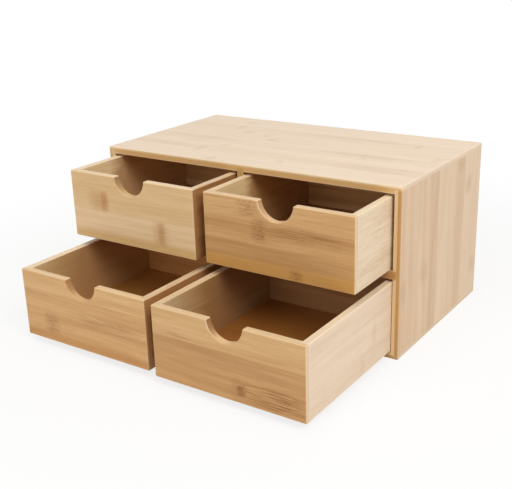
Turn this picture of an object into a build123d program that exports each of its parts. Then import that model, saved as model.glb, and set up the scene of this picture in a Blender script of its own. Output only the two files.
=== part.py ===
from build123d import *
import os

# A desktop chest of four small drawers, made of thin bamboo boards.
# Millimetres. X runs left to right, Y from the open front to the back, Z up.
# The origin is the centre of the case's underside.

# Case
CASE_WIDTH = 330.0
CASE_DEPTH = 185.0
CASE_HEIGHT = 160.0
BOARD = 7.0
SHELF_BOARD = 8.0
HOUSING = BOARD / 2
CASE_EASE = 1.0
MOUTH_EASE = 0.6

# Drawers
DRAWER_WIDTH = 151.0
DRAWER_DEPTH = 176.0
DRAWER_HEIGHT = 66.5
WALL = 7.0
FRONT_LIP = 4.0
DRAWER_EASE = 0.6
CORNER_ROUND = 1.0
NOTCH_RADIUS = 17.6
NOTCH_LIFT = 0.7
NOTCH_MOUTH = 1.2
BOTTOM_PANEL = 4.0
BOTTOM_RISE = 7.0
GROOVE = 2.5
PANEL_PLAY = 0.3

# How far each drawer stands out of the case, and how far it lies off its bay's centre line
UPPER_LEFT_PULL = 64.0
UPPER_RIGHT_PULL = 63.0
LOWER_LEFT_PULL = 140.0
LOWER_RIGHT_PULL = 144.0
SIDE_DRIFT = 1.2

# Worked out from the sizes above
FRONT = -CASE_DEPTH / 2
REAR = CASE_DEPTH / 2
INNER_DEPTH = CASE_DEPTH - BOARD
BAY_WIDTH = (CASE_WIDTH - 3 * BOARD) / 2
BAY_HEIGHT = (CASE_HEIGHT - 2 * BOARD - SHELF_BOARD) / 2
BAY_OFFSET = (BAY_WIDTH + BOARD) / 2
LOWER_FLOOR = BOARD
UPPER_FLOOR = BOARD + BAY_HEIGHT + SHELF_BOARD

FRONT_BOTTOM = (Align.CENTER, Align.MIN, Align.MIN)
REAR_BOTTOM = (Align.CENTER, Align.MAX, Align.MIN)


def case_carcass():
    """The glued-up case as one block: its outline, its four bays and its eased arrises."""
    block = Pos(0, FRONT, 0) * Box(CASE_WIDTH, CASE_DEPTH, CASE_HEIGHT, align=FRONT_BOTTOM)
    block = fillet(block.edges(), CASE_EASE)
    bay = Box(BAY_WIDTH, INNER_DEPTH, BAY_HEIGHT, align=FRONT_BOTTOM)
    for side in (-BAY_OFFSET, BAY_OFFSET):
        for floor in (LOWER_FLOOR, UPPER_FLOOR):
            block -= Pos(side, FRONT, floor) * bay
    front_face = block.faces().sort_by(Axis.Y)[0]
    mouths = front_face.inner_wires().edges()
    return fillet(mouths, MOUTH_EASE)


def case_blanks():
    """The case's boards before easing, each let into the next by half a board's thickness."""
    let_in_width = CASE_WIDTH - 2 * HOUSING
    let_in_height = CASE_HEIGHT - 2 * HOUSING

    back = Pos(0, REAR, HOUSING) * Box(let_in_width, BOARD, let_in_height, align=REAR_BOTTOM)
    upright = Box(BOARD, CASE_DEPTH, let_in_height, align=FRONT_BOTTOM)
    left = Pos(-(CASE_WIDTH - BOARD) / 2, FRONT, HOUSING) * upright
    right = Pos((CASE_WIDTH - BOARD) / 2, FRONT, HOUSING) * upright

    shelf_floor = UPPER_FLOOR - SHELF_BOARD
    shelf = Pos(0, FRONT, shelf_floor) * Box(let_in_width, INNER_DEPTH, SHELF_BOARD, align=FRONT_BOTTOM)
    divider = Pos(0, FRONT, HOUSING) * Box(BOARD, INNER_DEPTH, let_in_height, align=FRONT_BOTTOM)

    # The shelf and the divider are halved together: the shelf keeps its front half.
    halving = Pos(0, FRONT, shelf_floor) * Box(BOARD, INNER_DEPTH / 2, SHELF_BOARD, align=FRONT_BOTTOM)
    divider -= halving
    shelf -= divider

    slab = Box(CASE_WIDTH, CASE_DEPTH, BOARD, align=FRONT_BOTTOM)
    let_in = [left, right, divider, back]
    return {
        "top_board": Pos(0, FRONT, CASE_HEIGHT - BOARD) * slab - let_in,
        "bottom_board": Pos(0, FRONT, 0) * slab - let_in,
        "left_side_board": left - [shelf, back],
        "right_side_board": right - [shelf, back],
        "back_board": back,
        "middle_shelf": shelf,
        "centre_divider": divider,
    }


def notched_front():
    """The drawer's front wall: a half-round finger notch, its two top corners softened.

    The notch's centre lies a little above the wall's top.
    """
    outline = Rectangle(DRAWER_WIDTH, DRAWER_HEIGHT, align=(Align.CENTER, Align.MIN))
    outline -= Pos(0, DRAWER_HEIGHT + NOTCH_LIFT) * Circle(NOTCH_RADIUS)
    corners = outline.vertices().filter_by(lambda corner: abs(corner.X) < DRAWER_WIDTH / 4)
    outline = fillet(corners, NOTCH_MOUTH)
    return extrude(Plane.XZ * outline, -WALL)


def drawer_carcass():
    """The glued-up drawer frame as one block: rounded corners, then broken arrises.

    Its front face is at Y = 0 and its underside at Z = 0.
    """
    block = Box(DRAWER_WIDTH, DRAWER_DEPTH, DRAWER_HEIGHT, align=FRONT_BOTTOM)
    block -= Box(DRAWER_WIDTH - 2 * WALL, DRAWER_DEPTH - WALL, DRAWER_HEIGHT, align=FRONT_BOTTOM)
    block += notched_front()

    corners = block.edges().filter_by(Axis.Z).filter_by(
        lambda edge: abs(edge.center().X) > (DRAWER_WIDTH - WALL) / 2)
    block = fillet(corners, CORNER_ROUND)

    # The two lines across the wall beside the notch are smooth already.
    rim = block.edges().group_by(Axis.Z)[-1].filter_by(lambda edge: abs(edge.length - WALL) > GROOVE)
    notch = block.edges().filter_by(GeomType.CIRCLE).filter_by(
        lambda edge: abs(edge.center().X) < DRAWER_WIDTH / 4)
    foot = block.faces().sort_by(Axis.Z)[0].outer_wire().edges()
    return chamfer(rim + notch + foot, DRAWER_EASE)


def drawer_boards():
    """The drawer's five boards: a lapped frame round a bottom panel held in grooves."""
    carcass = drawer_carcass()
    side_length = DRAWER_DEPTH - 2 * FRONT_LIP
    side_offset = (DRAWER_WIDTH - WALL) / 2
    side = Box(WALL, side_length, DRAWER_HEIGHT, align=FRONT_BOTTOM)
    left = Pos(-side_offset, FRONT_LIP, 0) * side
    right = Pos(side_offset, FRONT_LIP, 0) * side
    across = Box(DRAWER_WIDTH, WALL, DRAWER_HEIGHT, align=FRONT_BOTTOM)

    groove_width = DRAWER_WIDTH - 2 * (WALL - GROOVE)
    groove_depth = DRAWER_DEPTH - 2 * (WALL - GROOVE)
    middle = DRAWER_DEPTH / 2
    seat = (Align.CENTER, Align.CENTER, Align.MIN)
    groove = Pos(0, middle, BOTTOM_RISE) * Box(groove_width, groove_depth, BOTTOM_PANEL, align=seat)
    panel = Box(groove_width - 2 * PANEL_PLAY, groove_depth - 2 * PANEL_PLAY, BOTTOM_PANEL, align=seat)

    return {
        "front": (carcass & across) - [left, right, groove],
        "left_side": (carcass & left) - groove,
        "right_side": (carcass & right) - groove,
        "back": (carcass & Pos(0, DRAWER_DEPTH - WALL, 0) * across) - [left, right, groove],
        "bottom": Pos(0, middle, BOTTOM_RISE) * panel,
    }


def drawer_places():
    """Where each drawer's front stands: pulled out of its bay and drifted to one side of it."""
    upper_left = Pos(-BAY_OFFSET - SIDE_DRIFT, FRONT - UPPER_LEFT_PULL, UPPER_FLOOR)
    upper_right = Pos(BAY_OFFSET - SIDE_DRIFT, FRONT - UPPER_RIGHT_PULL, UPPER_FLOOR)
    lower_left = Pos(-BAY_OFFSET + SIDE_DRIFT, FRONT - LOWER_LEFT_PULL, LOWER_FLOOR)
    lower_right = Pos(BAY_OFFSET + SIDE_DRIFT, FRONT - LOWER_RIGHT_PULL, LOWER_FLOOR)
    return {
        "upper_left_drawer": upper_left,
        "upper_right_drawer": upper_right,
        "lower_left_drawer": lower_left,
        "lower_right_drawer": lower_right,
    }


def write_node(name, shape):
    """Writes one board as its own STEP file."""
    export_step(shape, f"parts/{name}.step")


def main():
    """Builds the case and the four drawers, one file for each board."""
    os.makedirs("parts", exist_ok=True)

    carcass = case_carcass()
    for name, blank in case_blanks().items():
        write_node(name, carcass & blank)

    boards = drawer_boards()
    for drawer, place in drawer_places().items():
        for name, board in boards.items():
            write_node(f"{drawer}_{name}", place * board)


main()
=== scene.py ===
"""A desktop chest of four small bamboo drawers: its looks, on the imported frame.

Metres, with X to the right, Y from the open front to the back, and Z up. Inside a
board's material everything is in millimetres, measured from the board's middle.
"""

import logging
import random
from abc import ABC, abstractmethod
from dataclasses import dataclass, replace
from enum import Enum
from typing import Optional, Union

import bmesh
import bpy
from mathutils import Matrix, Vector


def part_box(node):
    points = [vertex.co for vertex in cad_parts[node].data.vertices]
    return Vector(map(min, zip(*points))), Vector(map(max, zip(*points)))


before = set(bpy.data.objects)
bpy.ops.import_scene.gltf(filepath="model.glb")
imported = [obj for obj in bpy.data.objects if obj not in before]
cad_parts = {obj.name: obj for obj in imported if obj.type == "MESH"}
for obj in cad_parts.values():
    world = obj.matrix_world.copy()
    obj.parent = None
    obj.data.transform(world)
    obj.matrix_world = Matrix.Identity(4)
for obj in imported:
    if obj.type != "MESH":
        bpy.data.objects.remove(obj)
bpy.context.view_layer.update()

log = logging.getLogger("chest")

Socket = bpy.types.NodeSocket
Feed = Union[Socket, float, tuple]
Span = tuple[float, float]
Triple = tuple[float, float, float]
Colour = tuple[float, float, float, float]
Tones = tuple[tuple[float, str], ...]

MM = 1000.0
WHITE: Colour = (1.0, 1.0, 1.0, 1.0)


def linear(colour: str) -> Colour:
    """Turns a written colour into the values that a node takes, by the sRGB curve.

    Args:
        colour: Six hexadecimal digits, two each for red, green and blue.

    Returns:
        The linear red, green and blue, and an alpha of 1.
    """
    parts = [int(colour[at:at + 2], 16) / 255 for at in (0, 2, 4)]
    return (*[p / 12.92 if p <= 0.04045 else ((p + 0.055) / 1.055) ** 2.4 for p in parts], 1.0)


class Lay(Enum):
    """How a board lies: which axes its fibres, its width and its thickness follow."""

    FLAT = ((1, 0, 0), (0, 1, 0), (0, 0, 1))
    ACROSS = ((1, 0, 0), (0, 0, 1), (0, -1, 0))
    BACKWARD = ((0, 1, 0), (0, 0, 1), (1, 0, 0))
    UPRIGHT = ((0, 0, 1), (0, 1, 0), (-1, 0, 0))

    def turn(self) -> Matrix:
        """The rotation from the chest's axes to the board's own."""
        return Matrix(self.value)


@dataclass(frozen=True)
class Waves:
    """One kind of smooth noise.

    The stretch says how many waves there are to a millimetre along the fibres, across them
    and through them. Detail is how many times finer waves are added, and roughness is how
    strong those are.
    """

    stretch: Triple
    detail: float
    roughness: float = 0.5


class Graph:
    """A node tree under construction, with one short call for each kind of node."""

    def __init__(self, tree: bpy.types.NodeTree) -> None:
        """Starts on a tree.

        Args:
            tree: The tree of a material, a world or a node group.
        """
        self.tree = tree

    @classmethod
    def fresh(cls, owner: Union[bpy.types.Material, bpy.types.World]) -> "Graph":
        """Starts on the emptied tree of a material or a world.

        Args:
            owner: The material or the world.

        Returns:
            The graph of its tree.
        """
        owner.use_nodes = True
        owner.node_tree.nodes.clear()
        return cls(owner.node_tree)

    def feed(self, socket: Socket, value: Feed) -> None:
        """Links an input to an output, or sets its value.

        Args:
            socket: The input.
            value: The output, or the value.
        """
        if isinstance(value, Socket):
            self.tree.links.new(value, socket)
        else:
            socket.default_value = value

    def add(self, kind: str, feeds: dict, **settings: object) -> bpy.types.Node:
        """Adds a node.

        Args:
            kind: The node's type, without its common beginning.
            feeds: What goes into each input, by the input's name or number.
            **settings: The node's own properties.

        Returns:
            The new node.
        """
        node = self.tree.nodes.new("ShaderNode" + kind)
        for name, value in settings.items():
            setattr(node, name, value)
        for key, value in feeds.items():
            self.feed(node.inputs[key], value)
        return node

    def sum(self, operation: str, *values: Feed) -> Socket:
        """Does one piece of arithmetic on up to three values."""
        return self.add("Math", dict(enumerate(values)), operation=operation).outputs[0]

    def swing(self, value: Feed, amount: Feed, base: Feed, middle: float = 0.5) -> Socket:
        """Adds to a base how far a value is from its middle, times an amount."""
        return self.sum("MULTIPLY_ADD", self.sum("SUBTRACT", value, middle), amount, base)

    def step(self, value: Feed, low: float, high: float,
             to_low: float = 0.0, to_high: float = 1.0) -> Socket:
        """Runs smoothly from one value to another.

        Args:
            value: What is measured.
            low: Where the change begins.
            high: Where the change ends.
            to_low: The result up to the beginning.
            to_high: The result from the end on.

        Returns:
            The result's socket.
        """
        feeds = {0: value, 1: low, 2: high, 3: to_low, 4: to_high}
        return self.add("MapRange", feeds, interpolation_type="SMOOTHSTEP").outputs[0]

    def parts(self, vector: Feed) -> tuple[Socket, ...]:
        """Splits a vector or a colour used as one into its three values."""
        return tuple(self.add("SeparateXYZ", {0: vector}).outputs)

    def vectors(self, operation: str, *values: Feed) -> bpy.types.Node:
        """Does one piece of arithmetic on up to three vectors."""
        return self.add("VectorMath", dict(enumerate(values)), operation=operation)

    def noise(self, place: Feed, waves: Waves, start: Feed = (0.0, 0.0, 0.0)) -> Socket:
        """Lays smooth noise over a board.

        Args:
            place: The point on the board.
            waves: The kind of noise.
            start: What the noise starts from, so that no two strips look alike.

        Returns:
            The noise, from about 0.3 to 0.7.
        """
        spot = self.vectors("MULTIPLY_ADD", place, waves.stretch, start).outputs[0]
        feeds = {"Vector": spot, "Scale": 1.0, "Detail": waves.detail, "Roughness": waves.roughness}
        return self.add("TexNoise", feeds).outputs[0]

    def tint(self, share: Feed, first: Feed, second: Feed) -> Socket:
        """Mixes a share of a second colour into a first one."""
        feeds = {0: share, 6: first, 7: second}
        return self.add("Mix", feeds, data_type="RGBA").outputs[2]

    def ramp(self, value: Feed, stops: list[tuple[float, Colour]]) -> Socket:
        """Turns a value into a colour that runs from stop to stop.

        Args:
            value: The value, from 0 to 1.
            stops: Each stop's place and colour, from the first to the last.

        Returns:
            The colour's socket.
        """
        node = self.add("ValToRGB", {0: value})
        elements = node.color_ramp.elements
        ends = {0: 0, len(stops) - 1: -1}
        for number, (position, colour) in enumerate(stops):
            element = elements[ends[number]] if number in ends else elements.new(position)
            element.position = position
            element.color = colour
        return node.outputs[0]


class SharedPattern(ABC):
    """A pattern that many materials share, as one node group."""

    NAME: str

    @abstractmethod
    def build(self) -> bpy.types.NodeTree:
        """Builds the node group."""

    def group(self) -> bpy.types.NodeTree:
        """Finds the node group, or builds it the first time."""
        return bpy.data.node_groups.get(self.NAME) or self.build()

    def open(self, vectors: tuple[str, ...], numbers: tuple[str, ...],
             results: tuple[str, ...]) -> tuple[Graph, tuple[Socket, ...]]:
        """Starts the node group.

        Args:
            vectors: The names of the inputs that are vectors, which come first.
            numbers: The names of the inputs that are numbers.
            results: The names of the outputs, which are numbers too.

        Returns:
            The group's graph, and what its inputs give.
        """
        tree = bpy.data.node_groups.new(self.NAME, "ShaderNodeTree")
        sockets = [(name, "INPUT", "NodeSocketVector") for name in vectors]
        sockets += [(name, "INPUT", "NodeSocketFloat") for name in numbers]
        sockets += [(name, "OUTPUT", "NodeSocketFloat") for name in results]
        for name, way, kind in sockets:
            tree.interface.new_socket(name, in_out=way, socket_type=kind)
        given = tree.nodes.new("NodeGroupInput").outputs
        return Graph(tree), tuple(given[at] for at in range(len(vectors) + len(numbers)))

    def close(self, graph: Graph, *results: Socket) -> bpy.types.NodeTree:
        """Leads the results out of the node group.

        Args:
            graph: The group's graph.
            *results: The results, in the order of the outputs.

        Returns:
            The finished group.
        """
        outputs = graph.tree.nodes.new("NodeGroupOutput").inputs
        for at, result in enumerate(results):
            graph.feed(outputs[at], result)
        return graph.tree


@dataclass(frozen=True)
class BambooGrain(SharedPattern):
    """The grain of every board.

    Bamboo board is pressed from long strips. Each strip has fibres of its own with short
    dark flecks, and here and there a knuckle where the cane had a joint. Masks begin at
    their first limit and end at their second. Distances are in millimetres, and the seam and
    the knuckle's taper are shares of a strip's width.
    """

    NAME = "bamboo_grain"

    bend: Waves = Waves((0.011, 0.05, 0.05), 1.0)
    band: Waves = Waves((0.008, 0.13, 0.13), 3.0)
    fibre: Waves = Waves((0.02, 1.0, 1.0), 4.0, 0.62)
    line: Waves = Waves((0.03, 4.0, 4.0), 2.0, 0.6)
    hair: Waves = Waves((0.09, 3.0, 3.0), 1.0)
    wobble: Waves = Waves((0.12, 0.4, 0.4), 3.0)
    board_step: float = 7.0
    strip_start: Triple = (47.0, 3.7, 9.0)
    seam: Span = (0.002, 0.02)
    bend_reach: float = 4.0
    fleck_hairs: Span = (0.56, 0.7)
    fleck_fibres: Span = (0.6, 0.42)
    knuckle_shift: float = 5.0
    knuckle_wobble: float = 12.0
    knuckle_reach: float = 6.0
    knuckle_taper: float = 0.22
    knuckle_fibres: tuple[float, ...] = (0.35, 0.65, 1.0, 0.4)

    def build(self) -> bpy.types.NodeTree:
        """Builds the node group.

        Returns:
            The group: place, strip row, seed and knuckle gap go in, and the strength of
            each part of the pattern comes out, from 0 to 1.
        """
        graph, (place, row, seed, gap) = self.open(
            ("Place",), ("Row", "Seed", "Knuckle gap"),
            ("Band", "Fibre", "Line", "Fleck", "Knuckle", "Seam"))
        along, across, deep = graph.parts(place)

        # Each strip has random values of its own, and a fine joint on each side
        strip = graph.sum("MULTIPLY_ADD", seed, self.board_step, graph.sum("FLOOR", row))
        chance = graph.add("TexWhiteNoise", {"W": strip}, noise_dimensions="1D")
        drift, phase, _ = graph.parts(chance.outputs["Color"])
        side = graph.sum("PINGPONG", row, 0.5)
        seam = graph.step(side, *self.seam, 1.0, 0.0)

        # Fibres: long noise that wanders a little, begun afresh in each strip
        own = graph.add("CombineXYZ", {0: drift, 1: seed, 2: phase}).outputs[0]
        start = graph.vectors("MULTIPLY", own, self.strip_start).outputs[0]
        bent = graph.swing(graph.noise(place, self.bend, start), self.bend_reach, across)
        run = graph.add("CombineXYZ", {0: along, 1: bent, 2: deep}).outputs[0]
        band = graph.noise(run, self.band, start)
        fibre = graph.noise(run, self.fibre, start)
        line = graph.noise(run, self.line, start)
        hair = graph.noise(run, self.hair, start)
        fleck = graph.sum("MULTIPLY", graph.step(hair, *self.fleck_hairs),
                          graph.step(fibre, *self.fleck_fibres))

        # Knuckles: one each so often along a strip, at a place of the strip's own
        shift = graph.sum("MULTIPLY", phase, self.knuckle_shift)
        turn = graph.sum("ADD", graph.sum("DIVIDE", along, gap), shift)
        off = graph.sum("SUBTRACT", graph.sum("FRACT", turn), 0.5)
        wobble = graph.noise(place, self.wobble, start)
        away = graph.swing(wobble, self.knuckle_wobble, graph.sum("MULTIPLY", off, gap))
        ring = graph.step(graph.sum("ABSOLUTE", away), 0.0, self.knuckle_reach, 1.0, 0.0)
        ring = graph.sum("MULTIPLY", ring, graph.step(side, 0.0, self.knuckle_taper))
        knuckle = graph.sum("MULTIPLY", ring, graph.step(fibre, *self.knuckle_fibres))

        return self.close(graph, band, fibre, line, fleck, knuckle, seam)


@dataclass(frozen=True)
class StainMark(SharedPattern):
    """One darker mark at a chosen place on a board.

    It fades towards its edge, breaks up into threads along the fibres, and is dotted.
    """

    NAME = "stain_mark"

    rough: Waves = Waves((0.28, 0.45, 0.45), 4.0, 0.6)
    thread: Waves = Waves((0.03, 1.1, 1.1), 3.0, 0.6)
    dot: Waves = Waves((0.38, 1.0, 1.0), 2.0)
    along_power: float = 2.5
    across_power: float = 4.0
    edge_limits: Span = (0.05, 1.15)
    thread_limits: Span = (0.58, 0.7)
    dot_limits: Span = (0.34, 0.62)
    fibre_share: float = 0.3

    def build(self) -> bpy.types.NodeTree:
        """Builds the node group.

        Returns:
            The group: place, centre, half size, fibre and how broken, ragged and mottled
            the mark is go in, and the mark's strength comes out.
        """
        graph, (place, centre, half, fibre, broken, ragged, mottle) = self.open(
            ("Place", "Centre", "Half size"), ("Fibre", "Break", "Ragged", "Mottle"), ("Mark",))
        gap = graph.vectors("SUBTRACT", place, centre).outputs[0]
        ratio = graph.vectors("DIVIDE", gap, half).outputs[0]
        along, across, _ = graph.parts(ratio)
        along = graph.sum("POWER", graph.sum("ABSOLUTE", along), self.along_power)
        across = graph.sum("POWER", graph.sum("ABSOLUTE", across), self.across_power)
        reach = graph.sum("SQRT", graph.sum("ADD", along, across))
        reach = graph.swing(graph.noise(place, self.rough), ragged, reach)
        blot = graph.step(reach, *self.edge_limits, 1.0, 0.0)

        lines = graph.sum("MULTIPLY_ADD", fibre, self.fibre_share, graph.noise(place, self.thread))
        kept = graph.swing(graph.step(lines, *self.thread_limits, 1.0, 0.0), broken, 1.0, 1.0)
        dots = graph.step(graph.noise(place, self.dot), *self.dot_limits)
        patchy = graph.swing(dots, mottle, 1.0, 1.0)
        mark = graph.sum("MULTIPLY", graph.sum("MULTIPLY", blot, kept), patchy)
        return self.close(graph, mark)


@dataclass(frozen=True)
class Stain:
    """A knuckle or a darker streak on a board, in millimetres from the board's middle.

    Broken is how far it falls apart into threads, ragged is how far its edge wanders, and
    mottled is how dotted it is, each from 0 to 1 or a little more.
    """

    along: float
    across: float
    half_length: float = 5.0
    half_width: float = 9.0
    strength: float = 0.6
    broken: float = 0.5
    ragged: float = 1.1
    mottled: float = 0.2


@dataclass(frozen=True)
class Strip:
    """One strip of a board: its width beside the others', how pale it is and how orange.

    Blend is how far its tone runs into the strip before it, in millimetres.
    """

    width: float
    tone: float
    warmth: float = 0.0
    blend: float = 0.7


@dataclass(frozen=True)
class Bamboo:
    """A finish: a board's tones from deep to pale, and how strongly each part of it reads.

    Warm is the orange of some strips. Arris is how strong the painted highlight on the edges is,
    and rim is the tone of the upper edge, where that has one of its own. Widths and gaps are in
    millimetres.
    """

    deep: str
    middle: str
    pale: str
    end_grain: str
    knuckle: str
    warm: str = "B8803F"
    strip_width: float = 19.0
    strip_contrast: float = 0.4
    band_contrast: float = 0.6
    fibre_contrast: float = 0.3
    line_contrast: float = 0.45
    fleck: float = 0.2
    knuckle_gap: float = 500.0
    knuckle_strength: float = 0.4
    arris: float = 0.35
    rim: str = ""
    roughness: float = 0.5

    def toned(self, middle: str) -> "Bamboo":
        """Keeps the finish's contrasts round another middle tone.

        Args:
            middle: The new middle tone.

        Returns:
            The same finish with its deep and pale tones moved as far as the middle one.
        """
        def moved(colour: str) -> str:
            """Scales one colour as the middle tone is scaled."""
            parts = zip(*(bytes.fromhex(tone) for tone in (colour, middle, self.middle)))
            return "".join(f"{min(255, round(part * to / was)):02X}" for part, to, was in parts)

        return replace(self, deep=moved(self.deep), middle=middle, pale=moved(self.pale))


@dataclass(frozen=True)
class Relief:
    """How far the parts of the grain stand up or lie deeper, and how the surface shines.

    The depth is in metres. The rest is relative.
    """

    line: float = 0.6
    fibre: float = 0.6
    fleck: float = -0.5
    seam: float = -0.6
    strength: float = 0.2
    depth: float = 0.0002
    shine: float = 0.35
    roughness_swing: float = 0.16


class Finish(Enum):
    """The finishes of the chest's boards."""

    TOP = Bamboo(deep="DCC3A2", middle="ECD5BA", pale="F4DFC9", end_grain="E2CBB0",
                 knuckle="C6AC88", strip_contrast=0.22, band_contrast=0.45, fleck=0.08)
    CASE_SIDE = Bamboo(deep="C5A37E", middle="DBBD9C", pale="EAD3B6", end_grain="DDC4A4",
                       knuckle="B8946A", strip_contrast=0.5, fleck=0.08, arris=0.12)
    # The shelf and the divider are deeper in tone: painted shade of the bays
    CASE_INNER = Bamboo(deep="A87C4C", middle="C39560", pale="D6AE78", end_grain="DDC4A4",
                        knuckle="98693C")
    FRONT = Bamboo(deep="A97846", middle="CA9D68", pale="DDB988", end_grain="E0C6A4",
                   knuckle="8A5A2A", fibre_contrast=0.42, line_contrast=0.52,
                   knuckle_strength=0.0, rim="EBCFA6")
    FRONT_PALE = Bamboo(deep="C29B67", middle="DAB88A", pale="EACFA8", end_grain="CDB28C",
                        knuckle="AE783E", warm="CCA052", knuckle_strength=0.0, rim="F0D8B4")
    DRAWER_SIDE = Bamboo(deep="D0B28C", middle="E7D0B2", pale="F2E0C8", end_grain="D2B896",
                         knuckle="B08D64", fibre_contrast=0.4, fleck=0.45, knuckle_strength=0.25,
                         rim="EED5AF")
    # A drawer side facing the narrow gap between drawers: its deeper tone and weaker arris highlight are
    # painted shade
    DRAWER_SHADED_SIDE = Bamboo(deep="8A5A30", middle="AE7C4A", pale="CE9C66", end_grain="C49A6A",
                           knuckle="7A4E28", rim="EED5AF", arris=0.1)
    # The drawer's back is deeper in tone, partly painted shade over the wood's own tone
    DRAWER_BACK = Bamboo(deep="9A6A38", middle="BC8A54", pale="D0A26C", end_grain="C8A67C",
                         knuckle="8A5C30", rim="EED5AF")
    # The drawer's bottom is deeper in tone, partly painted shade over the wood's own tone
    DRAWER_BOTTOM = Bamboo(deep="985E28", middle="BA7A3A", pale="CE9150", end_grain="A87A48",
                           knuckle="7C4A22", strip_width=30.0)


@dataclass(frozen=True)
class InnerToneAndShade:
    """The tones of a board's inner face, each with its distance behind the drawer's front.

    The tones are painted shade over a deeper tone of the wood inside. The distances are in
    millimetres, and the front's own place is in metres.
    """

    facing: Triple
    tones: Tones
    front: float


@dataclass(frozen=True)
class FrontEdge:
    """The two layers that show on a case board's front edge, and where they meet."""

    lower: str
    upper: str
    split: float = 0.0


@dataclass(frozen=True)
class Notch:
    """The finger notch in a front.

    Its cut is paler at the bottom, along the fibres, and deeper at the two ends, where it
    crosses them. Its centre is lifted a little above the rim.
    """

    along_fibres: str
    across_fibres: str
    radius: float = 17.6
    lift: float = 0.7


@dataclass(frozen=True)
class Board:
    """One board of the chest: the node it dresses, how it lies, its finish and its marks."""

    node: str
    lay: Lay
    finish: Bamboo
    seed: float
    strips: tuple[Strip, ...] = ()
    stains: tuple[Stain, ...] = ()
    inside: Optional[InnerToneAndShade] = None
    edge: Optional[FrontEdge] = None
    notch: Optional[Notch] = None

    UNEVEN = (0.8, 1.25)

    def own_strips(self, width: float) -> tuple[Strip, ...]:
        """The board's strips from one long edge to the other.

        Args:
            width: The board's width in millimetres.

        Returns:
            The strips that the board was given, or else uneven ones of random tones.
        """
        if self.strips:
            return self.strips
        chance = random.Random(self.seed)
        count = max(1, round(width / self.finish.strip_width))
        return tuple(Strip(chance.uniform(*self.UNEVEN), chance.random()) for _ in range(count))


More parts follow.
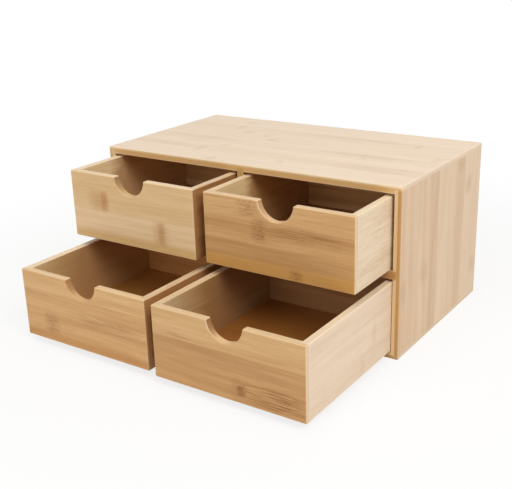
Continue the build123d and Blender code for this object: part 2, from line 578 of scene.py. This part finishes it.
class Dressing:
    """One board's material under construction.

    It starts with where each point of the board lies and what grain it has. Each part of
    the finish then takes the colour so far and returns the next one.

    The limits of each mask are what Graph.step takes: where it begins and ends, and its two
    values there where they aren't 0 and 1.
    """

    # The wood: where the three tones lie, and the most strips that a ramp can count
    TONE_PLACES = (0.1, 0.5, 0.9)
    STRIP_LIMIT = 40.0

    # The marks: a stain goes right through its board
    THROUGH = 1000.0
    SEAM_SHARE = 0.12

    # The end grain
    DOTS = Waves((0.3, 1.8, 1.8), 2.0)
    END_FACING = (0.45, 0.7)
    END_DOTS = (0.5, 0.72, 0.0, 0.35)

    # The inner faces' painted shade over a deeper wood tone, to a reach in metres behind the drawer's front
    INSIDE_REACH = 0.2
    INSIDE_FACING = (0.6, 0.9)
    INSIDE_UNEVEN = 0.12
    INSIDE_FIBRES = (0.62, 0.3, 0.0, 0.35)
    PLACED_SHARE = 0.9

    # The case's front edges
    EDGE_FACING = (0.35, 0.6)
    EDGE_BLEND = 0.4
    EDGE_FIBRES = (0.35, 0.65, 0.35, 0.0)

    # The finger notch
    NOTCH_CUT = (0.7, 1.1, 1.0, 0.0)
    NOTCH_SIDEWAYS = (0.3, 0.9, 1.0, 0.0)
    NOTCH_CROSSING = (0.35, 0.95)
    NOTCH_DOTS = (0.45, 0.75, 0.0, 0.25)

    # The rim: it is full at the second depth below the upper edge
    RIM_FACING = (0.3, 0.9)
    RIM_DEPTH = (2.0, 1.0)
    RIM_FIBRES = (0.6, 0.35, 0.0, 0.5)
    RIM_SHARE = 0.8

    # The arrises' painted highlight, which is weaker on end grain, and the surface
    ARRIS_REACH = (0.3, 1.6, 1.0, 0.0)
    ARRIS_AT_ENDS = -0.8
    RELIEF = Relief()

    def __init__(self, board: Board) -> None:
        """Measures the board and lays its grain.

        Args:
            board: The board to dress.
        """
        self.board = board
        self.finish = board.finish
        self.made = bpy.data.materials.new(board.node)
        self.graph = graph = Graph.fresh(self.made)

        source = graph.add("TexCoord", {}).outputs
        self.spot, self.normal = source["Object"], source["Normal"]
        low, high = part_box(board.node)
        turn = board.lay.turn()
        tilt = tuple(turn.to_euler())
        middle = turn @ ((low + high) * MM / 2)
        self.half = tuple(abs(value) for value in turn @ ((high - low) * MM / 2))
        place = graph.add("Mapping", {0: self.spot, 1: tuple(-middle), 2: tilt, 3: (MM, MM, MM)})
        facing = graph.add("Mapping", {0: self.normal, 2: tilt}, vector_type="VECTOR")
        self.place = place.outputs[0]
        self.along, self.across, self.deep = graph.parts(self.place)
        self.facing = graph.parts(graph.vectors("ABSOLUTE", facing.outputs[0]).outputs[0])

        row, self.strip, self.warmth = self.rows()
        feeds = {"Place": self.place, "Row": row, "Seed": board.seed,
                 "Knuckle gap": self.finish.knuckle_gap}
        grain = graph.add("Group", feeds, node_tree=BambooGrain().group())
        self.band, self.fibre, self.line, self.fleck, self.knuckle, self.seam = grain.outputs
        self.end = graph.step(self.facing[0], *self.END_FACING)
        self.dots = graph.noise(self.place, self.DOTS)

    def rows(self) -> tuple[Socket, Socket, Socket]:
        """Finds the strip that a point lies in.

        Returns:
            The strip's number with the way across it as the fraction, its tone and its warmth.
        """
        graph = self.graph
        width = 2 * self.half[1]
        strips = self.board.own_strips(width)
        total = sum(strip.width for strip in strips)
        counts, tones, at = [], [], 0.0
        for number, strip in enumerate(strips):
            blend = strip.blend / width if number else 0.0
            counts.append((at, (number / self.STRIP_LIMIT, 0.0, 0.0, 1.0)))
            if number:
                last = strips[number - 1]
                tones.append((at - blend, (last.tone, last.warmth, 0.0, 1.0)))
            tones.append((at + blend, (strip.tone, strip.warmth, 0.0, 1.0)))
            at += strip.width / total
        counts.append((1.0, (len(strips) / self.STRIP_LIMIT, 0.0, 0.0, 1.0)))
        tones.append((1.0, (strips[-1].tone, strips[-1].warmth, 0.0, 1.0)))

        share = graph.sum("MULTIPLY_ADD", self.across, 1 / width, 0.5)
        count = graph.parts(graph.ramp(share, counts))[0]
        tone, warmth, _ = graph.parts(graph.ramp(share, tones))
        return graph.sum("MULTIPLY", count, self.STRIP_LIMIT), tone, warmth

    def wood(self) -> Socket:
        """The colour of the strips and their fibres.

        Returns:
            One of the finish's tones at each point, more or less orange.
        """
        finish = self.finish
        tone = 0.5
        for value, contrast in ((self.strip, finish.strip_contrast), (self.band, finish.band_contrast),
                                (self.fibre, finish.fibre_contrast), (self.line, finish.line_contrast)):
            tone = self.graph.swing(value, contrast, tone)
        colours = (linear(finish.deep), linear(finish.middle), linear(finish.pale))
        colour = self.graph.ramp(tone, list(zip(self.TONE_PLACES, colours)))
        return self.graph.tint(self.warmth, colour, linear(finish.warm))

    def marked(self, colour: Socket) -> Socket:
        """Adds the knuckles, the streaks, the flecks and the joints between the strips.

        Args:
            colour: The board's colour so far.

        Returns:
            The colour with them.
        """
        graph, finish = self.graph, self.finish
        dark = linear(finish.knuckle)
        mark = graph.sum("MULTIPLY", self.knuckle, finish.knuckle_strength)
        for stain in self.board.stains:
            feeds = {"Place": self.place, "Centre": (stain.along, stain.across, 0.0),
                     "Half size": (stain.half_length, stain.half_width, self.THROUGH),
                     "Fibre": self.fibre, "Break": stain.broken, "Ragged": stain.ragged,
                     "Mottle": stain.mottled}
            blot = graph.add("Group", feeds, node_tree=StainMark().group()).outputs[0]
            mark = graph.sum("MAXIMUM", mark, graph.sum("MULTIPLY", blot, stain.strength))
        colour = graph.tint(mark, colour, dark)
        colour = graph.tint(graph.sum("MULTIPLY", self.fleck, finish.fleck), colour, dark)
        seam = graph.sum("MULTIPLY", self.seam, self.SEAM_SHARE)
        return graph.tint(seam, colour, linear(finish.deep))

    def ended(self, colour: Socket) -> Socket:
        """Shows the cut fibres on the ends of the strips.

        Args:
            colour: The board's colour so far.

        Returns:
            The colour with the dotted end grain.
        """
        dots = self.graph.step(self.dots, *self.END_DOTS)
        ends = self.graph.tint(dots, linear(self.finish.end_grain), linear(self.finish.knuckle))
        return self.graph.tint(self.end, colour, ends)

    def faces(self, direction: Triple, limits: Span) -> Socket:
        """Masks the faces that look in a direction.

        Args:
            direction: The direction on the chest's axes.
            limits: How nearly a face looks that way where the mask begins and where it is full.

        Returns:
            The mask.
        """
        along = self.graph.vectors("DOT_PRODUCT", self.normal, direction).outputs["Value"]
        return self.graph.step(along, *limits)

    def paint_inner_tone_and_shade(self, colour: Socket, inside: InnerToneAndShade) -> Socket:
        """Gives the board's inner face its deeper tones.

        Args:
            colour: The board's colour so far.
            inside: The tones of the inner face.

        Returns:
            The colour with the tones, painted shade over a deeper wood tone, mixed in, uneven like the
            grain.
        """
        graph = self.graph
        # Painted shade over a deeper wood tone, by distance behind the drawer's front
        back = graph.parts(self.spot)[1]
        share = graph.sum("MULTIPLY_ADD", back, 1 / self.INSIDE_REACH, -inside.front / self.INSIDE_REACH)
        share = graph.swing(self.band, self.INSIDE_UNEVEN, share)
        reach = self.INSIDE_REACH * MM
        tones = graph.ramp(share, [(distance / reach, linear(tone)) for distance, tone in inside.tones])
        fibres = graph.step(self.fibre, *self.INSIDE_FIBRES)
        tones = graph.tint(fibres, tones, linear(self.finish.knuckle))
        mask = graph.sum("MULTIPLY", self.faces(inside.facing, self.INSIDE_FACING), self.PLACED_SHARE)
        return graph.tint(mask, colour, tones)

    def edged(self, colour: Socket, edge: FrontEdge) -> Socket:
        """Shows the board's layers on its front edge.

        Args:
            colour: The board's colour so far.
            edge: The layers.

        Returns:
            The colour with the layers mixed in where the board faces the front.
        """
        graph = self.graph
        through = graph.sum("MULTIPLY_ADD", self.fibre, self.EDGE_BLEND, self.deep)
        upper = graph.step(through, edge.split, edge.split + self.EDGE_BLEND)
        layers = graph.tint(upper, linear(edge.lower), linear(edge.upper))
        fibres = graph.step(self.fibre, *self.EDGE_FIBRES)
        layers = graph.tint(fibres, layers, linear(self.finish.knuckle))
        forward = self.faces((0.0, -1.0, 0.0), self.EDGE_FACING)
        return graph.tint(graph.sum("MULTIPLY", forward, self.PLACED_SHARE), colour, layers)

    def notched(self, colour: Socket, notch: Notch) -> Socket:
        """Shows the fibres that the finger notch cuts.

        Args:
            colour: The board's colour so far.
            notch: The notch.

        Returns:
            The colour with the notch's own tones along its curve.
        """
        graph = self.graph
        rise = graph.sum("SUBTRACT", self.half[1] + notch.lift, self.across)
        squares = graph.sum("ADD", graph.sum("MULTIPLY", self.along, self.along),
                            graph.sum("MULTIPLY", rise, rise))
        off = graph.sum("SUBTRACT", graph.sum("SQRT", squares), notch.radius)
        near = graph.step(graph.sum("ABSOLUTE", off), *self.NOTCH_CUT)
        cut = graph.sum("MULTIPLY", near, graph.step(self.facing[2], *self.NOTCH_SIDEWAYS))
        crossing = graph.step(self.facing[0], *self.NOTCH_CROSSING)
        tone = graph.tint(crossing, linear(notch.along_fibres), linear(notch.across_fibres))
        dots = graph.step(self.dots, *self.NOTCH_DOTS)
        return graph.tint(cut, colour, graph.tint(dots, tone, linear(self.finish.knuckle)))

    def rimmed(self, colour: Socket) -> Socket:
        """Makes the board's upper edge paler where it faces up.

        Args:
            colour: The board's colour so far.

        Returns:
            The colour with the paler rim, which the darker fibres still cross.
        """
        graph = self.graph
        below, above = (self.half[1] - depth for depth in self.RIM_DEPTH)
        upward = graph.sum("MULTIPLY", self.faces((0.0, 0.0, 1.0), self.RIM_FACING),
                           graph.step(self.across, below, above))
        fibres = graph.step(self.fibre, *self.RIM_FIBRES)
        rim = graph.tint(fibres, linear(self.finish.rim), colour)
        return graph.tint(graph.sum("MULTIPLY", upward, self.RIM_SHARE), colour, rim)

    def paint_arris_highlight(self, colour: Socket) -> Socket:
        """Makes the board's arrises paler.

        A point is near an edge if it is near two pairs of faces, so what counts is its
        second smallest distance from them.

        Args:
            colour: The board's colour so far.

        Returns:
            The colour with the painted highlight on the arrises, weaker on end grain.
        """
        graph, finish = self.graph, self.finish
        plain = graph.vectors("ABSOLUTE", self.place).outputs[0]
        a, b, c = graph.parts(graph.vectors("SUBTRACT", self.half, plain).outputs[0])
        second = graph.sum("MAXIMUM", graph.sum("MINIMUM", a, b),
                           graph.sum("MINIMUM", graph.sum("MAXIMUM", a, b), c))
        # A painted highlight along the arrises, where the eased edges would catch the light
        arris_highlight = graph.sum("MULTIPLY", graph.step(second, *self.ARRIS_REACH),
                         graph.sum("MULTIPLY_ADD", self.end, self.ARRIS_AT_ENDS, 1.0))
        return graph.tint(graph.sum("MULTIPLY", arris_highlight, finish.arris), colour, linear(finish.pale))

    def colour(self) -> Socket:
        """Lays the parts of the finish one over another.

        Returns:
            The finished colour.
        """
        board = self.board
        colour = self.ended(self.marked(self.wood()))
        if board.inside:
            colour = self.paint_inner_tone_and_shade(colour, board.inside)
        if board.edge:
            colour = self.edged(colour, board.edge)
        if board.notch:
            colour = self.notched(colour, board.notch)
        if self.finish.rim:
            colour = self.rimmed(colour)
        return self.paint_arris_highlight(colour)

    def surface(self) -> None:
        """Joins the colour to a shader, with roughness and bump from the same grain."""
        graph, relief = self.graph, self.RELIEF
        colour = self.colour()
        smooth = self.finish.roughness - relief.roughness_swing / 2
        rough = graph.sum("MULTIPLY_ADD", self.fibre, relief.roughness_swing, smooth)
        height = graph.sum("MULTIPLY", self.fibre, relief.fibre)
        for value, rise in ((self.line, relief.line), (self.fleck, relief.fleck), (self.seam, relief.seam)):
            height = graph.sum("MULTIPLY_ADD", value, rise, height)
        bump = graph.add("Bump", {"Strength": relief.strength, "Distance": relief.depth, "Height": height})
        feeds = {"Base Color": colour, "Roughness": rough, "Specular IOR Level": relief.shine,
                 "Normal": bump.outputs[0]}
        shader = graph.add("BsdfPrincipled", feeds)
        graph.add("OutputMaterial", {"Surface": shader.outputs[0]})

    def dress(self) -> None:
        """Finishes the material and puts it on the board's node."""
        self.surface()
        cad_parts[self.board.node].material_slots[0].material = self.made
        log.info("dressed %s", self.board.node)


class Assembly(ABC):
    """Boards that are glued up into one rigid piece."""

    @abstractmethod
    def boards(self) -> list[Board]:
        """Lists the boards."""

    def dress(self) -> None:
        """Dresses every board."""
        for board in self.boards():
            Dressing(board).dress()


@dataclass
class Case(Assembly):
    """The case: top, bottom, two sides, back, shelf and divider."""

    seed: float = 3.0
    top_stains: tuple[Stain, ...] = (
        Stain(118, 46, 4, 9, 0.5), Stain(44, 49, 80, 5, 0.35, 0.6, 0.5),
        Stain(-100, -11, 62, 8, 0.35, 0.5, 0.6), Stain(92, -11, 70, 8, 0.45, 0.5, 0.6),
        Stain(-72, 29, 9, 7, 0.5), Stain(-30, 7.5, 9, 6, 0.45), Stain(-95, 69, 14, 6, 0.3),
        Stain(-75, -54, 6, 11, 0.45), Stain(-112, -50, 38, 6, 0.3, 0.5, 0.6),
        Stain(-95, -29, 36, 4, 0.3, 0.5, 0.6), Stain(118, -52, 50, 12, 0.25, 0.5, 0.6),
    )
    side_strips: tuple[Strip, ...] = (
        Strip(18, 0.42, 0.05), Strip(20, 0.4, 0.02), Strip(24, 0.52), Strip(18, 0.12),
        Strip(21, 0.72), Strip(21, 0.66), Strip(21, 0.42), Strip(21, 0.85), Strip(21, 0.78),
    )
    side_stains: tuple[Stain, ...] = (
        Stain(69, 41, 9, 10, 0.5), Stain(45, 61, 12, 11, 0.5), Stain(-13, -42, 13, 11, 0.38),
        Stain(-18, -86, 13, 9, 0.38), Stain(-45, 82, 12, 10, 0.35),
    )

    def boards(self) -> list[Board]:
        """Lists the case's boards.

        Returns:
            The seven boards, each with a grain of its own.
        """
        inner, side = Finish.CASE_INNER.value, Finish.CASE_SIDE.value
        return [
            Board("top_board", Lay.FLAT, Finish.TOP.value, self.seed, stains=self.top_stains,
                  edge=FrontEdge("D2A052", "E3C48E", 1.4)),
            Board("bottom_board", Lay.FLAT, side, self.seed + 1, edge=FrontEdge("B98A4C", "CFA468")),
            Board("left_side_board", Lay.UPRIGHT, side, self.seed + 2,
                  edge=FrontEdge("D8B888", "CFA468")),
            Board("right_side_board", Lay.UPRIGHT, replace(side, knuckle_strength=0.08),
                  self.seed + 3, self.side_strips, self.side_stains,
                  edge=FrontEdge("B8843F", "DFBF8E")),
            Board("back_board", Lay.ACROSS, side, self.seed + 4),
            Board("middle_shelf", Lay.FLAT, inner, self.seed + 5, edge=FrontEdge("B5844E", "B5844E")),
            Board("centre_divider", Lay.UPRIGHT, inner, self.seed + 6,
                  edge=FrontEdge("C9A263", "C9A263")),
        ]


@dataclass(frozen=True)
class DrawerToneAndShade:
    """The tones in one drawer, painted shade over a deeper wood tone: its walls and bottom from the front
    backwards, its back.
    """

    walls: Tones
    back: str
    bottom: Tones = ((40, "B67F42"), (150, "B27A40"))


@dataclass
class Drawer(Assembly):
    """One drawer: a front with a finger notch, two sides, a back and a bottom panel.

    The side next to the other drawer of its row has a deeper tone: painted shade from the narrow gap.
    """

    name: str
    front: Bamboo
    seed: float
    strips: tuple[Strip, ...]
    stains: tuple[Stain, ...]
    notch: Notch
    tones: DrawerToneAndShade
    # Which side faces the gap, and the deeper tone of painted shade that it gets
    shaded_side: str = "right_side"
    shaded_side_tone: str = "AE7C4A"
    shown: Bamboo = Finish.DRAWER_SIDE.value
    side_strips: tuple[Strip, ...] = (Strip(20, 0.45), Strip(24, 0.6), Strip(22, 0.5))

    def inner(self, facing: Triple, tones: Tones) -> InnerToneAndShade:
        """The given tones on a face that looks into the drawer."""
        return InnerToneAndShade(facing, tones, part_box(f"{self.name}_front")[0].y)

    def side(self, name: str, seed: float, inward: float) -> Board:
        """One of the drawer's sides.

        Args:
            name: The side's own name.
            seed: What its grain starts from.
            inward: 1 if its inner face looks to the right, -1 if it looks to the left.

        Returns:
            The side, with a deeper tone of painted shade if it faces the gap beside the other drawer.
        """
        # The side facing the gap gets painted shade as a deeper finish
        shaded_side = Finish.DRAWER_SHADED_SIDE.value.toned(self.shaded_side_tone)
        finish = shaded_side if name == self.shaded_side else self.shown
        return Board(f"{self.name}_{name}", Lay.BACKWARD, finish, seed, self.side_strips,
                     inside=self.inner((inward, 0.0, 0.0), self.tones.walls))

    def boards(self) -> list[Board]:
        """Lists the drawer's boards.

        Returns:
            The five boards, each with a grain of its own.
        """
        back = Finish.DRAWER_BACK.value.toned(self.tones.back)
        return [
            Board(f"{self.name}_front", Lay.ACROSS, self.front, self.seed, self.strips, self.stains,
                  self.inner((0.0, 1.0, 0.0), self.tones.walls), notch=self.notch),
            self.side("left_side", self.seed + 1, 1.0),
            self.side("right_side", self.seed + 2, -1.0),
            Board(f"{self.name}_back", Lay.ACROSS, back, self.seed + 3),
            Board(f"{self.name}_bottom", Lay.FLAT, Finish.DRAWER_BOTTOM.value, self.seed + 4,
                  inside=self.inner((0.0, 0.0, 1.0), self.tones.bottom)),
        ]


def upper_left() -> Drawer:
    """Describes the upper left drawer.

    Returns:
        The drawer with the palest front, which has two dark knuckles.
    """
    return Drawer(
        # The front's end grain is deeper: painted shade from the drawer alongside
        "upper_left_drawer", replace(Finish.FRONT_PALE.value, end_grain="A67C52"), 20.0,
        strips=(Strip(8.5, 0.4, 0.4, 1.5), Strip(22, 0.85, 0.0, 3.0), Strip(36, 0.5, 0.1, 2.0)),
        stains=(Stain(-34, 7, 7.5, 12, 0.85, 0.2, 0.8, 0.1),
                Stain(-40, 7, 17, 12, 0.5, 0.2, 0.9),
                Stain(36.2, -14.5, 7, 14, 0.75, 0.2, 0.8, 0.1),
                Stain(35, -15, 12, 14, 0.45, 0.2, 0.9)),
        notch=Notch("CDA878", "A88458"),
        # Painted shade over a deeper wood tone, on the drawer's inner faces
        tones=DrawerToneAndShade(
            walls=((45, "F9DAA6"), (62, "BE9462"), (80, "BE9462"), (110, "D2AC7A"), (160, "E0C090")),
            back="D9AE7C"))


def upper_right() -> Drawer:
    """Describes the upper right drawer.

    Returns:
        The drawer with dotted knuckles beside its notch, and an orange strip at the foot.
    """
    return Drawer(
        "upper_right_drawer", replace(Finish.FRONT.value, warm="C08C40"), 30.0,
        strips=(Strip(11.5, 0.45, 0.75, 1.5), Strip(15, 0.18, 0.06, 3.0),
                Strip(10, 0.42, 0.04, 3.0), Strip(9, 0.02, 0.08, 2.5), Strip(21, 0.5, 0.0, 2.5)),
        stains=(Stain(-28.5, 25, 14, 9, 0.65, 0.4, 1.6, 0.8),
                Stain(-17, 7.3, 10, 13, 0.8, 0.4, 1.6, 0.8),
                Stain(19.5, -28, 8, 6, 0.8, 0.3, 1.4, 0.7),
                Stain(30, 8, 55, 8, 0.55, 0.9, 0.6)),
        notch=Notch("DCB68A", "C8A074"),
        # Painted shade over a deeper wood tone, on the drawer's inner faces
        tones=DrawerToneAndShade(
            walls=((52, "F9DDA8"), (64, "BE9664"), (85, "BA9462"), (160, "C8A47C")),
            back="CCA370"),
        # The left side faces the gap: painted shade as a deeper tone
        shaded_side="left_side", shaded_side_tone="C39863",
        shown=replace(Finish.DRAWER_SIDE.value, fleck=0.65))


def lower_left() -> Drawer:
    """Describes the lower left drawer.

    Returns:
        The drawer with a deeper strip at the foot, and a knuckle low on the left.
    """
    return Drawer(
        # The front's end grain is deeper: painted shade from the drawer alongside
        "lower_left_drawer", replace(Finish.FRONT.value, end_grain="A67C52"), 40.0,
        strips=(Strip(7.5, 0.15, 0.5, 1.5), Strip(20.5, 0.48, 0.06, 2.5), Strip(21.5, 0.48),
                Strip(17, 0.72)),
        stains=(Stain(-41, -15.5, 12, 13, 0.6, 0.4, 1.7, 0.8),
                Stain(25, -2, 50, 9, 0.45, 0.9, 0.6)),
        notch=Notch("D0A678", "AE8254"),
        # Painted shade over a deeper wood tone, on the drawer's inner faces
        tones=DrawerToneAndShade(
            walls=((15, "DDBE88"), (42, "BF9761"), (70, "A97842"), (95, "AA7A44"),
                   (125, "BC9058"), (165, "CFA866")),
            back="C99257",
            bottom=((60, "B8803F"), (150, "BD8847"))))


def lower_right() -> Drawer:
    """Describes the lower right drawer.

    Returns:
        The drawer with two deep strips low on the front, and a knuckle that runs out in streaks.
    """
    return Drawer(
        "lower_right_drawer", Finish.FRONT.value.toned("C59A66"), 50.0,
        strips=(Strip(23, 0.22, 0.1), Strip(18.5, 0.12), Strip(25, 0.7)),
        stains=(Stain(14.5, -22, 6, 7.5, 1.0, 0.1, 1.6, 0.3),
                Stain(11, -22, 9, 13, 0.35, 0.3, 1.0, 0.6),
                Stain(46, -22, 44, 12, 0.95, 1.0, 0.4),
                Stain(-40, 12, 30, 3, 0.4, 0.9, 0.6)),
        notch=Notch("DDBA8C", "A67A4E"),
        # Painted shade over a deeper wood tone, on the drawer's inner faces
        tones=DrawerToneAndShade(
            walls=((15, "DFC69A"), (42, "C9A576"), (66, "A77C4E"), (95, "9A7048"),
                   (120, "A8835A"), (160, "B79C6C")),
            back="A6794C",
            bottom=((30, "A56C32"), (88, "96602B"), (118, "B77835"), (137, "B67836"),
                    (157, "A16A35"))),
        # The left side faces the gap: painted shade as a deeper tone
        shaded_side="left_side", shaded_side_tone="C39863",
        shown=replace(Finish.DRAWER_SIDE.value, deep="CFB08E", middle="E4CCB1", pale="F0DDC7",
                      fibre_contrast=0.3, fleck=0.3))


@dataclass(frozen=True)
class Lamp:
    """A soft square lamp: where it hangs, the side of its square and its power in watts."""

    name: str
    place: Triple
    size: float
    power: float

    def hang(self, aim: Triple) -> None:
        """Hangs the lamp.

        Args:
            aim: The point that it shines at.
        """
        light = bpy.data.lights.new(self.name, "AREA")
        light.size = self.size
        light.energy = self.power
        lamp = bpy.data.objects.new(self.name, light)
        lamp.location = self.place
        lamp.rotation_euler = (Vector(aim) - Vector(self.place)).to_track_quat("-Z", "Y").to_euler()
        bpy.context.scene.collection.objects.link(lamp)
        log.info("hung lamp %s", self.name)


@dataclass(frozen=True)
class Studio:
    """The floor, the light and the camera.

    The floor shows a share of plain white to the camera, which grows from the chest outwards.
    """

    floor_size: float = 24.0
    floor_colour: str = "F4F2EF"
    shadow_reach: Span = (0.2, 0.6)
    white_share: Span = (0.78, 1.0)
    sky: float = 0.3
    aim: Triple = (0.0, -0.05, 0.06)
    lamps: tuple[Lamp, ...] = (
        Lamp("key", (1.6, -1.0, 1.8), 1.3, 36.0),
        Lamp("overhead", (-0.1, -0.3, 2.3), 1.6, 13.0),
        Lamp("front", (-0.1, -2.4, 0.8), 1.2, 13.0),
        Lamp("back", (0.6, 2.6, 0.55), 1.2, 8.0),
    )
    sensor: float = 36.0
    lens: float = 60.57
    camera_place: Triple = (0.45514, -0.72719, 0.35847)
    camera_right: Triple = (0.827720, 0.560377, -0.029263)
    camera_up: Triple = (-0.165313, 0.293351, 0.941603)

    def build(self) -> None:
        """Builds the whole studio."""
        self.floor()
        self.world()
        for lamp in self.lamps:
            lamp.hang(self.aim)
        self.camera()
        bpy.context.scene.view_settings.view_transform = "Standard"

    def white_to_the_camera(self, graph: Graph, plain: Socket, share: Feed) -> Socket:
        """Shows a share of plain white to the camera, to mirrors and through glass.

        Args:
            graph: The tree of the floor's material or of the world.
            plain: The shader that lights the object.
            share: How much of the white is shown, from 0 to 1.

        Returns:
            The mixed shader.
        """
        path = graph.add("LightPath", {}).outputs
        seen = graph.sum("MAXIMUM", path["Is Camera Ray"], path["Is Glossy Ray"])
        seen = graph.sum("MAXIMUM", seen, path["Is Transmission Ray"])
        white = graph.add("Emission", {"Color": WHITE, "Strength": 1.0}).outputs[0]
        part = graph.sum("MULTIPLY", seen, share)
        return graph.add("MixShader", {0: part, 1: plain, 2: white}).outputs[0]

    def floor(self) -> None:
        """Lays a plain pale floor that keeps the chest's shadow."""
        mesh = bpy.data.meshes.new("floor")
        grid = bmesh.new()
        bmesh.ops.create_grid(grid, x_segments=1, y_segments=1, size=self.floor_size / 2)
        grid.to_mesh(mesh)
        grid.free()
        made = bpy.data.materials.new("floor")
        graph = Graph.fresh(made)
        paint = graph.add("BsdfDiffuse", {"Color": linear(self.floor_colour)}).outputs[0]
        spot = graph.add("TexCoord", {}).outputs["Object"]
        away = graph.vectors("LENGTH", spot).outputs["Value"]
        share = graph.step(away, *self.shadow_reach, *self.white_share)
        shown = self.white_to_the_camera(graph, paint, share)
        graph.add("OutputMaterial", {"Surface": shown})
        mesh.materials.append(made)
        plane = bpy.data.objects.new("floor", mesh)
        bpy.context.scene.collection.objects.link(plane)
        log.info("laid the floor")

    def world(self) -> None:
        """Surrounds the chest with even light."""
        world = bpy.data.worlds.new("studio")
        bpy.context.scene.world = world
        graph = Graph.fresh(world)
        light = graph.add("Background", {"Color": WHITE, "Strength": self.sky}).outputs[0]
        shown = self.white_to_the_camera(graph, light, 1.0)
        graph.add("OutputWorld", {"Surface": shown})

    def camera(self) -> None:
        """Sets the camera at the photograph's angle."""
        data = bpy.data.cameras.new("camera")
        data.sensor_width = self.sensor
        data.lens = self.lens
        camera = bpy.data.objects.new("camera", data)
        right, up = Vector(self.camera_right), Vector(self.camera_up)
        turn = Matrix((right, up, right.cross(up))).transposed()
        camera.matrix_world = Matrix.Translation(Vector(self.camera_place)) @ turn.to_4x4()
        bpy.context.scene.collection.objects.link(camera)
        bpy.context.scene.camera = camera


def main() -> None:
    """Builds the chest part by part, then the studio round it."""
    logging.basicConfig(level=logging.INFO, format="%(name)s: %(message)s")
    for assembly in (Case(), upper_left(), upper_right(), lower_left(), lower_right()):
        assembly.dress()
    Studio().build()


if __name__ == "__main__":
    main()
